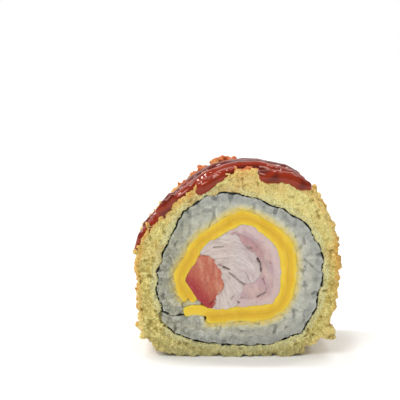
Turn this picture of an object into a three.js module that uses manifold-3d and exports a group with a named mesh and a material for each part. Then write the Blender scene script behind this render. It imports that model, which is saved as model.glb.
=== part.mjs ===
// One slice of a fried sushi roll, standing on its flattened underside with a cut face to the front.
// From the outside in: a craggy fried crust with thick sauce drizzled over its top, a sheet of nori
// whose inner end is tucked into the rice, a ring of rice, two cheese slices wrapped one inside the
// other, and a filling of folded ham, two strips of chicken and a wedge of tomato.
// Millimetres, +Z up. The roll's axis lies along Y and the front cut face looks along -Y.

import * as THREE from "three";
import { mergeVertices } from "three/addons/utils/BufferGeometryUtils.js";
import Module from "manifold-3d";

const wasm = await Module();
wasm.setup();

// Driving dimensions
const SLICE = 28; // from cut face to cut face
const AXIS_HEIGHT = 25; // of the roll's axis above the flat underside
const GAP = 0.3; // clearance between neighbouring pieces
const NORI = 0.5; // thickness of the wet sheet
const CRAG = 1.7; // tallest crag of the crust's own surface
const CRUMB = { radius: 1.8, rows: 5, perRow: 14 }; // crumbs that stand on the crust
const GRAIN = { long: 6.4, thick: 2.5, wide: 2.9, apart: 3.5 }; // cooked grains of rice
const RICE_RECESS = 0.9; // the rice's core lies this far behind each cut face
const SAUCE = { wide: 4.6, high: 3, rings: 15 }; // one drizzled stripe, about half of it sunk
const FILLING_RECESS = 0.15; // the filling's cut ends stand back this far

// Outlines of the cut face: x to the right and z up from the middle of the underside.
// The nori's loop, clockwise from the corner where its inner end turns in.
const WRAP = [
  [-22.4, 14.5], [-23.2, 20], [-22.3, 27.5], [-19.5, 35], [-16, 41.3], [-9.5, 46.2],
  [-2.5, 47.3], [6, 45.2], [14, 41.8], [19.6, 37.1], [23, 30.6], [23.6, 23.5],
  [21.6, 14], [17, 7], [9, 3.9], [-1, 3.4], [-11.5, 4.5], [-18.5, 7.2], [-22, 10.4],
];
const WRAP_TUCK = [[-16.9, 12.2], [-19.2, 12.6], [-21.4, 13.3]]; // its inner end, inside the rice
const WRAP_OPEN = 3; // of the loop's samples, left open between its two ends

// The crust's outer loop, clockwise from its lower left. It dips under the flat underside.
const CRUST = [
  [-26.6, 5.5], [-28.4, 12.5], [-28.6, 20], [-28.7, 27.6], [-27.3, 33.8], [-22.3, 40.2],
  [-15.9, 46.4], [-8.7, 51.1], [0, 53.3], [9, 53], [17.2, 49.8], [22.8, 45.4],
  [26.8, 39.1], [27.9, 31], [27.9, 23], [27, 14], [25, 6.5], [20.5, 1.8],
  [14, -0.5], [0, -0.6], [-14, -0.5], [-21.5, 1.6],
];

// Centre lines of the two cheese slices, each point with the slice's thickness there. Both start
// at the lower left, go clockwise round the filling and end under it.
const CHEESE_OUTER = [
  [-15, 16.8, 1.8], [-16.5, 19.1, 1.8], [-17.4, 22, 1.2], [-17.3, 24.7, 1.6],
  [-15, 28.5, 1.5], [-11.7, 34, 1.7], [-7, 37.4, 1.5], [-2.3, 40.6, 1.8],
  [0.7, 41.6, 1.7], [5.2, 40.1, 1.6], [9.7, 37.3, 1.8], [12.9, 34.2, 2.2],
  [14.8, 30.5, 2.2], [15.2, 24, 1.9], [14, 17.4, 1.6], [11.6, 13.6, 1.7],
  [7.9, 11.8, 1.9], [0.4, 11.4, 2], [-6.9, 10.8, 1.9], [-8.9, 10.9, 1.9],
];
const CHEESE_INNER = [
  [-12.6, 16.5, 1.7], [-14.2, 19.1, 1.7], [-16, 22.2, 1.1], [-15.4, 24.4, 1.6],
  [-13.5, 27.6, 1.5], [-10.4, 32.6, 1.7], [-6, 36, 1.5], [-1.5, 38.7, 1.8],
  [0.9, 39.7, 1.7], [4.1, 38.6, 1.6], [8.5, 35.6, 1.8], [11, 32.7, 2.2],
  [12.4, 30.4, 2.2], [13, 24, 1.9], [12.3, 18.2, 1.6], [10.2, 15.1, 1.7],
  [7.2, 13.9, 1.9], [0.4, 13.6, 2], [-7.1, 13, 1.9], [-12.2, 13.7, 2.5],
  [-15.3, 13.1, 2],
];
const CHEESE_LIP = 4; // of the inner slice's 52 steps, the last ones reach out past the filling
// How the rice closes in round the open ends of the cheese, from the lower end to the upper.
const CHEESE_ENDS = [
  [-9.8, 10.8], [-9.9, 12], [-12.8, 12.3], [-16.4, 12.1], [-16.5, 14.2], [-16, 16.2],
];

// Outlines of the filling, clockwise, in the order in which the pieces are fitted. Neighbours
// overlap here: each piece is cut back where it meets the cheese and the pieces named before it.
const FILLING = {
  tomato: [
    [-15.4, 22.8], [-13.8, 25.2], [-12.2, 27.6], [-11, 29.4], [-9.1, 29.4],
    [-7.6, 28.6], [-5.7, 26.3], [-4.8, 23], [-4.6, 20.2], [-6.2, 17.6], [-7.2, 15.2],
    [-8.3, 13.9], [-10.2, 15.2], [-12.8, 18.6],
  ],
  chicken_large: [
    [-10.6, 30], [-8.6, 33.4], [-5.5, 35.2], [-2.6, 35.7], [-0.5, 34.8], [1.2, 32.9],
    [3.4, 30.7], [5, 28.9], [6, 27], [6, 25.3], [5.2, 23.5], [4.2, 22.3], [2.4, 21.6],
    [-0.2, 22.6], [-2, 24], [-5.3, 26.2], [-7.5, 28.3],
  ],
  chicken_small: [
    [-6, 26.8], [-3.1, 25.4], [-1.4, 23.8], [0.3, 21.9], [0.6, 18.4], [-0.2, 16.7],
    [-1.3, 15.2], [-3, 14], [-7.2, 14], [-6.6, 17.4], [-5, 20.1], [-5.2, 23],
  ],
  ham_inner: [
    [-1.2, 34.4], [-2.4, 36.2], [1.6, 35.2], [4.4, 33.2], [6.4, 30.6], [7.5, 27.8],
    [8.2, 24.9], [8.5, 22], [7.7, 19.6], [6, 18.3], [3.1, 17.6], [0.6, 18],
    [0.2, 20.8], [2, 21], [4.6, 21.5], [6.3, 23.4], [6.3, 25.8], [5.3, 28.2],
    [3.4, 30.7], [1.2, 33],
  ],
  ham_outer: [
    [-3.5, 36.8], [0.6, 38.6], [3.7, 38], [7, 36], [10.4, 32.9], [12, 29.6],
    [12.5, 25.4], [12.2, 20.8], [11.2, 17.6], [9.2, 15.4], [4.9, 14.6], [-0.6, 14.4],
    [0.4, 16.6], [3.7, 17.4], [6.3, 18], [8, 19.3], [8.7, 21.7], [8.5, 25.4],
    [7.6, 28.6], [6.7, 31.2], [4.5, 33.6], [1.9, 35.5], [-1, 35.9],
  ],
};

// Stripes of sauce, front to back: where along the slice each lies, how it slants from left to
// right, and the heights on the left and right shoulders at which it ends.
const STRIPES = [
  { at: -10.1, slant: 1.2, left: 29, right: 47.5 },
  { at: -0.8, slant: 0.3, left: 50, right: 45 },
  { at: 7.8, slant: -0.3, left: 39, right: 41 },
];
// Sauce that hangs over the front edge: centre, half width, half height and tilt in degrees.
const DRIPS = [
  { x: -20.9, z: 42, wide: 3, high: 2, tilt: 46 },
  { x: -8.4, z: 50.2, wide: 5, high: 2.2, tilt: 30 },
  { x: 6.8, z: 53, wide: 3.6, high: 2, tilt: 0 },
  { x: 13.8, z: 51.3, wide: 4.6, high: 1.9, tilt: -20 },
];
const DRIP_DEEP = 2.4; // half a drip's depth along the slice, about half of it inside the crust
// Flakes of crust that stand well clear of the rest: centre and radius.
const FLAKES = [
  { at: [25.8, -12, 6.4], radius: 2.1 },
  { at: [23.4, 7, 46.2], radius: 1.7 },
  { at: [-28.6, 9, 15], radius: 1.8 },
  { at: [-28.2, -11.5, 8.5], radius: 1.6 },
];

function seeded(seed) {
  let state = seed >>> 0;
  return () => {
    state = (state + 0x6d2b79f5) >>> 0;
    let t = state;
    t = Math.imul(t ^ (t >>> 15), t | 1);
    t ^= t + Math.imul(t ^ (t >>> 7), t | 61);
    return ((t ^ (t >>> 14)) >>> 0) / 4294967296;
  };
}

// A number from 0 to 1 that depends only on a place, so that faces which share a corner agree.
function chanceAt(place) {
  const [x, y, z] = place.toArray().map((value) => Math.round(value * 20));
  return seeded(x * 73856093 + y * 19349663 + z * 83492791)();
}

function solidFrom(geometry) {
  const bare = geometry.index ? geometry.toNonIndexed() : geometry.clone();
  bare.deleteAttribute("normal");
  bare.deleteAttribute("uv");
  const merged = mergeVertices(bare, 1e-3);
  return new wasm.Manifold(
    new wasm.Mesh({
      numProp: 3,
      vertProperties: merged.attributes.position.array,
      triVerts: new Uint32Array(merged.index.array),
    }),
  );
}

function geometryFrom(solid) {
  const mesh = solid.getMesh();
  const position = new Float32Array(mesh.numVert * 3);
  for (let i = 0; i < mesh.numVert; i += 1) {
    position.set(mesh.vertProperties.subarray(i * mesh.numProp, i * mesh.numProp + 3), i * 3);
  }
  const geometry = new THREE.BufferGeometry();
  geometry.setAttribute("position", new THREE.BufferAttribute(position, 3));
  geometry.setIndex(new THREE.BufferAttribute(mesh.triVerts, 1));
  geometry.computeVertexNormals();
  return geometry;
}

// The largest body of a solid, without loose scraps and with sealed pockets filled.
function mainBody(solid) {
  return solid.decompose().reduce((a, b) => (a.volume() > b.volume() ? a : b));
}

function smoothLoop(points, count) {
  const curve = new THREE.CatmullRomCurve3(
    points.map(([x, z]) => new THREE.Vector3(x, z, 0)),
    true,
    "centripetal",
  );
  return curve.getSpacedPoints(count).slice(0, count).map((p) => new THREE.Vector2(p.x, p.y));
}

// Moves a closed clockwise loop outwards by a distance, or inwards if it is negative.
function grown(loop, distance) {
  return loop.map((point, i) => {
    const before = loop[(i + loop.length - 1) % loop.length];
    const after = loop[(i + 1) % loop.length];
    const along = after.clone().sub(before).normalize();
    return new THREE.Vector2(point.x - along.y * distance, point.y + along.x * distance);
  });
}

// The two edges of a sheet that is seen end on, from its centre line. Each point of the line is
// [x, z, thickness], or [x, z] where one thickness serves all. Clockwise, left is the outside.
function sheetEdges(path, count, thickness) {
  const centre = new THREE.CatmullRomCurve3(
    path.map(([x, z]) => new THREE.Vector3(x, z, 0)),
    false,
    "centripetal",
  );
  const depth = new THREE.CatmullRomCurve3(
    path.map((point, i) => new THREE.Vector3(i, point[2] ?? thickness, 0)),
    false,
    "catmullrom",
  );
  const edges = { left: [], right: [] };
  for (let i = 0; i <= count; i += 1) {
    const point = centre.getPoint(i / count);
    const along = centre.getTangent(i / count);
    const half = depth.getPoint(i / count).y / 2;
    edges.left.push(new THREE.Vector2(point.x - along.y * half, point.y + along.x * half));
    edges.right.push(new THREE.Vector2(point.x + along.y * half, point.y - along.x * half));
  }
  return edges;
}

function sheetOutline(path, count, thickness) {
  const { left, right } = sheetEdges(path, count, thickness);
  return [...left, ...right.reverse()];
}

// An outline drawn out along the roll's axis.
function drawnOut(outline, from = -SLICE / 2, to = SLICE / 2, steps = 1) {
  const geometry = new THREE.ExtrudeGeometry(new THREE.Shape(outline), {
    depth: to - from,
    steps,
    bevelEnabled: false,
  });
  geometry.rotateX(Math.PI / 2);
  geometry.translate(0, to, 0);
  return geometry;
}

function slab(outline, from, to) {
  return solidFrom(drawnOut(outline, from, to));
}

const wrapLoop = smoothLoop(WRAP, 76);
const crustCurve = new THREE.CatmullRomCurve3(
  CRUST.map(([x, z]) => new THREE.Vector3(x, 0, z)),
  true,
  "centripetal",
);

// The direction from the roll's axis to a place.
function outwards(place) {
  return new THREE.Vector3(place.x, 0, place.z - AXIS_HEIGHT).normalize();
}

// The crust's own body: its outline drawn out in short steps, with crags pushed out at random.
function crustBody() {
  const geometry = drawnOut(smoothLoop(CRUST, 60), -SLICE / 2, SLICE / 2, 8);
  const position = geometry.attributes.position;
  for (let i = 0; i < position.count; i += 1) {
    const place = new THREE.Vector3().fromBufferAttribute(position, i);
    const rise = CRAG * chanceAt(place) ** 1.6;
    place.addScaledVector(outwards(place), rise);
    position.setXYZ(i, place.x, place.y, place.z);
  }
  return solidFrom(geometry);
}

function lump(centre, radius, random) {
  const geometry = new THREE.IcosahedronGeometry(radius, 0);
  geometry.scale(0.75 + random() * 0.5, 0.75 + random() * 0.5, 0.6 + random() * 0.4);
  geometry.rotateX(random() * Math.PI);
  geometry.rotateZ(random() * Math.PI);
  geometry.translate(...centre);
  return solidFrom(geometry);
}

// Crumbs at even steps over the outside, with a little random play, and the named flakes.
function crumbs() {
  const random = seeded(41);
  const lumps = [];
  for (let row = 0; row < CRUMB.rows; row += 1) {
    for (let k = 0; k < CRUMB.perRow; k += 1) {
      const share = (k + row * 0.5 + random() * 0.5) / CRUMB.perRow;
      const radius = CRUMB.radius * (0.7 + random() * 0.6);
      const place = crustCurve.getPointAt(share % 1);
      place.addScaledVector(outwards(place), -0.3 * radius);
      const along = (row + 0.5 + (random() - 0.5) * 0.6) / CRUMB.rows - 0.5;
      place.y = along * (SLICE - 2 * CRUMB.radius);
      if (place.z > 2 * CRUMB.radius) lumps.push(lump(place.toArray(), radius, random));
    }
  }
  return [...lumps, ...FLAKES.map(({ at, radius }) => lump(at, radius, random))];
}

// The shares of the crust's outline at which its left and right shoulders reach given heights.
function shoulders(left, right) {
  const steps = 400;
  const shares = Array.from({ length: steps }, (_, i) => i / steps);
  const heights = shares.map((share) => crustCurve.getPointAt(share).z);
  const start = heights.findIndex((height) => height >= left);
  const end = heights.findLastIndex((height) => height >= right);
  return [shares[start], shares[end]];
}

// A closed tube of six-sided rings: each has a centre, two half axes and a share of full size.
function tube(rings) {
  const corner = ({ centre, across, up, size }, k) => {
    const turn = (k / 6) * Math.PI * 2;
    return centre
      .clone()
      .addScaledVector(across, Math.cos(turn) * size)
      .addScaledVector(up, Math.sin(turn) * size);
  };
  const first = rings[0];
  const last = rings[rings.length - 1];
  const corners = [];
  for (let k = 0; k < 6; k += 1) {
    corners.push(first.centre, corner(first, k + 1), corner(first, k));
    for (let i = 0; i + 1 < rings.length; i += 1) {
      const [a, b] = [corner(rings[i], k), corner(rings[i], k + 1)];
      const [c, d] = [corner(rings[i + 1], k + 1), corner(rings[i + 1], k)];
      corners.push(a, b, c, a, c, d);
    }
    corners.push(last.centre, corner(last, k), corner(last, k + 1));
  }
  return solidFrom(new THREE.BufferGeometry().setFromPoints(corners));
}

// One stripe of sauce: a flattened tube with narrowed ends, laid over the top of the crust.
function stripe({ at, slant, left, right }, index) {
  const [start, end] = shoulders(left, right);
  const rings = Array.from({ length: SAUCE.rings }, (_, i) => {
    const share = i / (SAUCE.rings - 1);
    const centre = crustCurve.getPointAt(start + (end - start) * share);
    const up = outwards(centre);
    centre.addScaledVector(up, CRAG * 0.4);
    centre.y = at + slant * (2 * share - 1) + Math.sin(i * 1.2 + index * 2.1) * 0.4;
    const atEnd = i === 0 || i === SAUCE.rings - 1;
    return {
      centre,
      across: new THREE.Vector3(0, SAUCE.wide / 2, 0),
      up: up.multiplyScalar(SAUCE.high / 2),
      size: atEnd ? 0.55 : 0.93 + 0.12 * Math.sin(i * 1.9 + index),
    };
  });
  return tube(rings);
}

// A drip over the front edge: a squashed ball, half in the crust.
function drip({ x, z, wide, high, tilt }) {
  const geometry = new THREE.SphereGeometry(1, 8, 5);
  geometry.scale(wide, DRIP_DEEP, high);
  geometry.rotateY(THREE.MathUtils.degToRad(-tilt));
  geometry.translate(x, (DRIP_DEEP - SLICE) / 2, z);
  return solidFrom(geometry);
}

// The crust in one piece with its crumbs, flakes and thick sauce, hollow for what it holds and
// cut flat underneath.
function crust() {
  const lumps = [...crumbs(), ...STRIPES.map(stripe), ...DRIPS.map(drip)];
  const whole = lumps.reduce((solid, piece) => solid.add(piece), crustBody());
  const hollow = slab(grown(wrapLoop, NORI / 2 + GAP), -SLICE, SLICE);
  const underside = new THREE.BoxGeometry(3 * SLICE, 2 * SLICE, SLICE);
  underside.translate(0, 0, -SLICE / 2);
  return mainBody(whole.subtract(hollow).subtract(solidFrom(underside)));
}

// The nori's centre line: from its tucked end out to the corner and round to below the corner.
function noriPath() {
  const round = wrapLoop.slice(1, -WRAP_OPEN).map((point) => [point.x, point.y]);
  return [...WRAP_TUCK, ...round];
}

function nori() {
  return slab(sheetOutline(noriPath(), 110, NORI));
}

// The outside of both cheese slices together, clockwise, closed across their open ends.
function cheeseLoop() {
  const ends = CHEESE_ENDS.map(([x, z]) => new THREE.Vector2(x, z));
  return [...sheetEdges(CHEESE_OUTER, 48).left, ...ends];
}

// The room for the rice between nori and cheese, parted at the lower left by the tucked nori.
function riceRoom(from, to) {
  const [tip, ...rest] = noriPath().slice(0, 9);
  const tuck = sheetOutline([[tip[0] + 1, tip[1]], tip, ...rest], 24, NORI + 2 * GAP);
  return slab(grown(wrapLoop, -NORI / 2 - GAP), from, to)
    .subtract(slab(grown(cheeseLoop(), GAP), -SLICE, SLICE))
    .subtract(slab(tuck, -SLICE, SLICE));
}

function isInside(loop, point) {
  return loop.reduce((inside, a, i) => {
    const b = loop[(i + 1) % loop.length];
    const crosses = a.y > point.y !== b.y > point.y;
    const atX = a.x + ((b.x - a.x) * (point.y - a.y)) / (b.y - a.y);
    return crosses && point.x < atX ? !inside : inside;
  }, false);
}

// Places for the grains that show at a cut face, spread evenly over the ring of rice.
function grainPlaces(random) {
  const outside = grown(wrapLoop, -GRAIN.wide / 2);
  const inside = grown(cheeseLoop(), GRAIN.wide / 2);
  const places = [];
  for (let tries = 0; tries < 2500; tries += 1) {
    const place = new THREE.Vector2((random() - 0.5) * 50, random() * 50);
    const inRing = isInside(outside, place) && !isInside(inside, place);
    const free = places.every((other) => other.distanceTo(place) > GRAIN.apart);
    if (inRing && free) places.push(place);
  }
  return places;
}

// Grains at one cut face, at true size, lying every way with their backs in the rice behind them.
function faceGrains(side, seed) {
  const random = seeded(seed);
  return grainPlaces(random).map((place) => {
    const grain = new THREE.SphereGeometry(0.5, 6, 4);
    grain.scale(GRAIN.long, GRAIN.thick, GRAIN.wide);
    grain.rotateZ((random() - 0.5) * 0.9);
    grain.rotateY(random() * Math.PI);
    const depth = SLICE / 2 - RICE_RECESS + (random() - 0.5) * 0.4;
    grain.translate(place.x, side * depth, place.y);
    return solidFrom(grain);
  });
}

function rice() {
  const core = riceRoom(RICE_RECESS - SLICE / 2, SLICE / 2 - RICE_RECESS);
  const grains = [...faceGrains(-1, 11), ...faceGrains(1, 23)];
  const heap = grains.reduce((solid, grain) => solid.add(grain), core);
  return mainBody(heap.intersect(riceRoom(-SLICE / 2, SLICE / 2)));
}

function cheese(path) {
  return slab(sheetOutline(path, 52));
}

// The filling's pieces by name: each keeps clear of the cheese and of the pieces before it.
function fillings() {
  const end = SLICE / 2 - FILLING_RECESS;
  const around = sheetEdges(CHEESE_INNER, 52).right.slice(0, -CHEESE_LIP);
  let free = slab(grown(around, -GAP), -end, end);
  const fitted = new Map();
  Object.entries(FILLING).forEach(([name, points]) => {
    const outline = smoothLoop(points, 44);
    fitted.set(name, mainBody(slab(outline, -end, end).intersect(free)));
    free = free.subtract(slab(grown(outline, GAP), -SLICE, SLICE));
  });
  return fitted;
}

const FINISHES = {
  crust: { color: "#dcb85c", roughness: 0.8 },
  nori: { color: "#1c2418", roughness: 0.55 },
  rice: { color: "#d9dbd2", roughness: 0.5 },
  cheese: { color: "#f0b91e", roughness: 0.45 },
  ham: { color: "#d99a9f", roughness: 0.5 },
  chicken: { color: "#e6d6d0", roughness: 0.6 },
  tomato: { color: "#bf3a2b", roughness: 0.35 },
};

const slice = new THREE.Group();

function add(name, solid) {
  const finish = FINISHES[name.split("_")[0]];
  const material = new THREE.MeshStandardMaterial({ ...finish, metalness: 0 });
  const mesh = new THREE.Mesh(geometryFrom(solid), material);
  mesh.name = name;
  slice.add(mesh);
}

add("crust", crust());
add("nori", nori());
add("rice", rice());
add("cheese_outer", cheese(CHEESE_OUTER));
add("cheese_inner", cheese(CHEESE_INNER));
fillings().forEach((solid, name) => add(name, solid));

// The origin is the middle of the underside of the whole slice.
const bounds = new THREE.Box3().setFromObject(slice);
const middle = bounds.getCenter(new THREE.Vector3());
slice.position.set(-middle.x, -middle.y, -bounds.min.z);

export default slice;
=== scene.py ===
"""One slice of a fried sushi roll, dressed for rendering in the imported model's frame.

Shapes are worked out in millimetres across the cut face: x to the right and z up from the middle of
the underside, with y along the roll's axis. They become metres in the model's frame at the end.
"""

import math
import random

import bmesh
import bpy
import numpy as np
from bpy.props import FloatProperty, FloatVectorProperty, IntProperty, PointerProperty
from mathutils import Euler, Matrix, Vector, noise
from mathutils.bvhtree import BVHTree
from mathutils.geometry import intersect_point_line


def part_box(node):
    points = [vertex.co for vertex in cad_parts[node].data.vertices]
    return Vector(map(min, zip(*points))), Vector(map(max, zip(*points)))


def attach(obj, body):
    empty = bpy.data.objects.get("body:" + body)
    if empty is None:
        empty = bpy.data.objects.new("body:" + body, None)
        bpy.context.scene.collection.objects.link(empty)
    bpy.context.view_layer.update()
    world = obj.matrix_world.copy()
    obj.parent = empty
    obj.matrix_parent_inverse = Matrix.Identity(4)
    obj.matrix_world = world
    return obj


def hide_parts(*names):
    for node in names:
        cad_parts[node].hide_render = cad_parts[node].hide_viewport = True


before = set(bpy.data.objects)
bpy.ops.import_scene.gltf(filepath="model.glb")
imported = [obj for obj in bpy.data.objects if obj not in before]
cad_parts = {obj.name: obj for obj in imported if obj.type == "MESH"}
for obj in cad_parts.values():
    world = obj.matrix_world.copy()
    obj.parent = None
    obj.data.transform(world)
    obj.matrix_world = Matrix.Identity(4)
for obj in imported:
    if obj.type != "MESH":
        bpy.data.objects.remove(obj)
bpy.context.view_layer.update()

bl_info = {
    "name": "Fried sushi roll slice",
    "version": (1, 0, 0),
    "blender": (4, 5, 0),
    "location": "3D View > Sidebar > Sushi",
    "description": "Makes one slice of a fried sushi roll, piece by piece, over its packed model",
    "category": "Add Mesh",
}

MM = 0.001
AXIS = Vector((0, 0, 25))  # the roll's axis, above the flat underside
HALF = 14.0  # from the middle of the slice to a cut face
NORI_LEFT = -23.458  # how far left of the roll's axis the nori reaches

_low, _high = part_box("nori")
SHIFT = Vector((_low.x / MM - NORI_LEFT, (_low.y + _high.y) / MM / 2, 0))

# Edges of the small cubes that each piece's skin is made from.
CRUST_SKIN = 0.345
SAUCE_SKIN = 0.32
RICE_SKIN = 0.3
CHEESE_SKIN = 0.3
HAM_SKIN = 0.28
FILLING_SKIN = 0.24
# How far each soft piece is grown to meet its neighbours.
CHEESE_GROWTH = 0.36
HAM_GROWTH = 0.48
CHICKEN_GROWTH = 0.62
TOMATO_GROWTH = 0.24
DEEP = 3.2  # how far in from a cut face the detail ends
THINNING = 0.88  # share of a hidden skin's faces that is taken away
MERGE = 1e-3  # corners closer than this are one
LONG_WALL = 20  # longer edges along the roll run from cut face to cut face
OUTSIDE = 60  # farther from the roll's axis than any of its skin

# Outlines of the cut face.
CRUST_OUTLINE = [
    (-26.6, 5.5), (-28.2, 12.5), (-28.4, 20), (-28.8, 27.6), (-27.5, 33.8), (-22.2, 40.2),
    (-15.4, 46.2), (-8.5, 50.6), (0, 52.7), (9, 52.2), (17.2, 49.2), (22.1, 44.7),
    (26, 38.3), (27.7, 31), (27.9, 23), (27.1, 14), (24.4, 7.2), (19.4, 2.6),
    (13.5, -0.3), (0, -0.6), (-14, -0.5), (-21.5, 1.6),
]
CRUST_INSIDE = 25.2  # the crust's outer wall is farther than this from the roll's axis
CROWN_RISE = 1.3  # how far the crown of the crust stands above its front rim
CROWN_FALL = 1.8  # how far it falls again to its back rim
NORI_ROOM = 0.45  # between the middle of the sheet of nori and the crust round it
SOAKED_TURNS = (-48, -2)  # where the soaked crumbs lie, in degrees from the top
SOAKED_LENGTH = (-4, HALF - 1)  # and along the roll
LUMPS_PER_FLAKE = 5
FOOT_GAP = 0.02  # between the floor and the lowest crumbs
DEEPEST_HOLLOW = 1.6  # in the underside
WRAP_OUTLINE = [
    (-22.4, 14.5), (-23.2, 20), (-22.3, 27.5), (-19.5, 35), (-16, 41.3), (-9.5, 46.2),
    (-2.5, 47.3), (6, 45.2), (14, 41.8), (19.6, 37.1), (23, 30.6), (23.6, 23.5),
    (21.6, 14), (17, 7), (9, 3.9), (-1, 3.4), (-11.5, 4.5), (-18.5, 7.2), (-22, 10.4),
]
# Flakes that stand clear of the crust: centre and radius.
FLAKES = [
    ((25.4, -12.9, 7.4), 2.2), ((26.6, -13.0, 5.4), 1.7), ((23.0, 7, 45.0), 1.7),
    ((-28.6, 9, 15), 1.8), ((-28.2, -11.5, 8.5), 1.5), ((23.8, -10.5, 43.4), 1.4),
    ((-0.4, -12.9, 53.0), 1.5), ((1.8, -12.6, 52.6), 1.2), ((-25.6, -13, 37.6), 1.1),
    ((21.2, -12.4, 46.4), 1.2), ((-28.5, -9, 29.6), 1.6), ((-28.8, -5, 26.4), 1.4),
    ((-7.4, 2.6, 53.0), 1.9), ((-5.0, 4.0, 54.1), 1.4), ((-10.4, 2.0, 51.8), 1.6),
    ((-2.6, 4.5, 54.3), 1.2),
]
SAUCE_RISE = 1.5  # how far a stripe of sauce stands above the crust
SAUCE_FLATNESS = 0.6  # a stripe's height as a share of its half width
# Stripes of sauce over the crust: turn from the top in degrees, y, and half width.
SAUCE_STRIPES = [
    [(-77, -11.8, 1.2), (-70, -11.7, 1.9), (-61, -11.6, 2.2), (-52, -11.5, 2.2), (-42, -11.5, 2.2),
     (-32, -11.1, 2.4), (-22, -10.4, 2.7), (-12, -9.2, 2.8), (0, -8.0, 2.7), (10, -8.0, 2.8),
     (20, -8.8, 2.7), (28, -9.4, 2.2), (34, -9.8, 1.5)],
    [(-66, -6.5, 1.3), (-57, -6.2, 1.8), (-46, -5.7, 1.9), (-35, -4.9, 1.8), (-24, -3.8, 2.1),
     (-13, -2.8, 2.5), (-2, -2.3, 2.8), (8, -2.3, 3.0), (18, -2.4, 2.8), (26, -2.8, 2.3),
     (32, -3.2, 1.5)],
    [(-30, 6.4, 1.1), (-21, 6.9, 1.7), (-10, 7.6, 1.8), (0, 8.1, 2.1), (9, 7.8, 2.3),
     (18, 7.3, 2.3), (25, 7.7, 1.9), (30, 8.2, 1.2)],
]
# Sauce that hangs over the front rim: x, y, z and half width.
SAUCE_DRIPS = [
    [(-22.2, -12.6, 42.0, 1.3), (-21.2, -13.0, 43.3, 1.5), (-19.0, -12.4, 45.6, 1.5)],
    [(-11.3, -12.9, 48.2, 1.5), (-9.9, -13.1, 49.2, 1.9), (-7.2, -13.0, 50.8, 1.8),
     (-4.2, -12.4, 52.3, 1.6), (-2.0, -11.4, 53.2, 1.3)],
    [(4.2, -12.3, 52.6, 1.4), (6.4, -12.9, 52.2, 1.8), (9.4, -13.1, 51.8, 1.9),
     (12.4, -13.0, 51.6, 1.7), (14.8, -13.0, 50.9, 1.8), (17.0, -13.0, 49.9, 2.0),
     (18.5, -12.8, 49.3, 1.6)],
]
RICE_WIDTH = (-24, 24)
RICE_HEIGHT = (3, 48)
GRAIN_GAP = 2.3  # between the middles of two grains of one layer
GRAIN_DEPTH = 0.55  # how far in from a cut face the middles of the first layer lie
LAYER_STEP = 1.15  # from the first layer of grains to the second
MOST_TRIES = 20000
# Rice pressed into the gaps by the cheese's ends: x, z, half width, half height and turn.
RICE_PLUGS = [
    (-16.2, 13.7, 0.9, 1.3, 0.5), (-13.5, 15.6, 2.8, 1.2, 0.1), (-9.3, 9.7, 0.6, 1.2, 0),
]
# Slits and gaps in the filling's cut face: x and z of both ends, half width and depth.
SLITS = [
    (5.3, 28.7, 6.0, 27.3, 0.36, 2.2), (6.0, 27.3, 6.2, 25.2, 0.26, 2.0),
    (-7.1, 32.0, -4.5, 32.2, 0.22, 0.7), (-4.4, 26.2, -2.8, 25.6, 0.26, 1.1),
    (-5.5, 26.9, -4.4, 26.2, 0.2, 0.5), (-2.7, 24.8, 0.4, 22.0, 0.2, 0.6),
    (0.4, 22.0, 1.6, 21.3, 0.3, 0.9), (2.4, 32.1, 3.4, 31.6, 0.4, 0.7),
    (7.6, 18.9, 5.2, 17.7, 0.22, 0.8), (7.9, 20.3, 7.6, 18.9, 0.18, 0.45),
    (6.6, 23.2, 7.9, 20.3, 0.16, 0.35), (-2.4, 16.7, -1.4, 18.0, 0.16, 0.5),
    (-7.9, 15.5, -7.0, 16.5, 0.3, 0.7), (-0.3, 16.2, 0.1, 15.8, 0.3, 0.9),
]
# Middles of the arcs that the fibres of the chicken run in.
CHICKEN_CENTRES = {"chicken_large": (-4.2, 19), "chicken_small": (-12, 14)}
FIBRE = 0.85  # width of a fibre
FIBRE_BUNDLE = 2.7  # width of a bundle of fibres
TOMATO_HEART = (-9, 21.5)  # where the tomato's veins meet
TOMATO_SKIN = (-14.8, 22)  # a point on the tomato's skin
TOMATO_TURN = 0.692  # from level to the way straight in from the skin, in radians

KEY_SOURCE = (-0.55, -0.6, 1.0)
GLEAM_TURNS = (-50, -25, 0, 25, 50)  # of the soft lights behind, from straight back
GLEAM_RISE = 0.62  # how far they rise for each step back
SPARK_TURNS = (-52, -32, -12, 8, 28)  # of the small lights above, from straight up
SPARK_BACK = 0.2  # how far back they are for each step up
PHOTO_WIDTH = 400  # in pixels, as is the focal length
FOCAL_LENGTH = 964.5
CAMERA_PLACE = Vector((-11.03, -HALF - 265, 90.26))
CAMERA_TILT = 9.59  # down from level, in degrees


def srgb(red, green, blue):
    """A colour given as on a screen, from 0 to 255, in the linear light that Blender works in."""
    return tuple(((part / 255 + 0.055) / 1.055) ** 2.4 for part in (red, green, blue))


def eased(value, low, high):
    """0 up to the low value, 1 from the high one, and smooth between."""
    share = min(max((value - low) / (high - low), 0), 1)
    return share * share * (3 - 2 * share)


# Solids


def with_settings(made, settings):
    """The same thing with its settings set, in the order given."""
    for key, value in settings.items():
        setattr(made, key, value)
    return made


def placed(name, data):
    """A new object in the scene."""
    made = bpy.data.objects.new(name, data)
    bpy.context.scene.collection.objects.link(made)
    return made


def mesh_of(made, name="work"):
    """The mesh of a bmesh, which is freed."""
    mesh = bpy.data.meshes.new(name)
    made.to_mesh(mesh)
    made.free()
    return mesh


def tree_of(made):
    """The surface of a bmesh, which is freed, as a tree to measure against."""
    tree = BVHTree.FromBMesh(made)
    made.free()
    return tree


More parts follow.
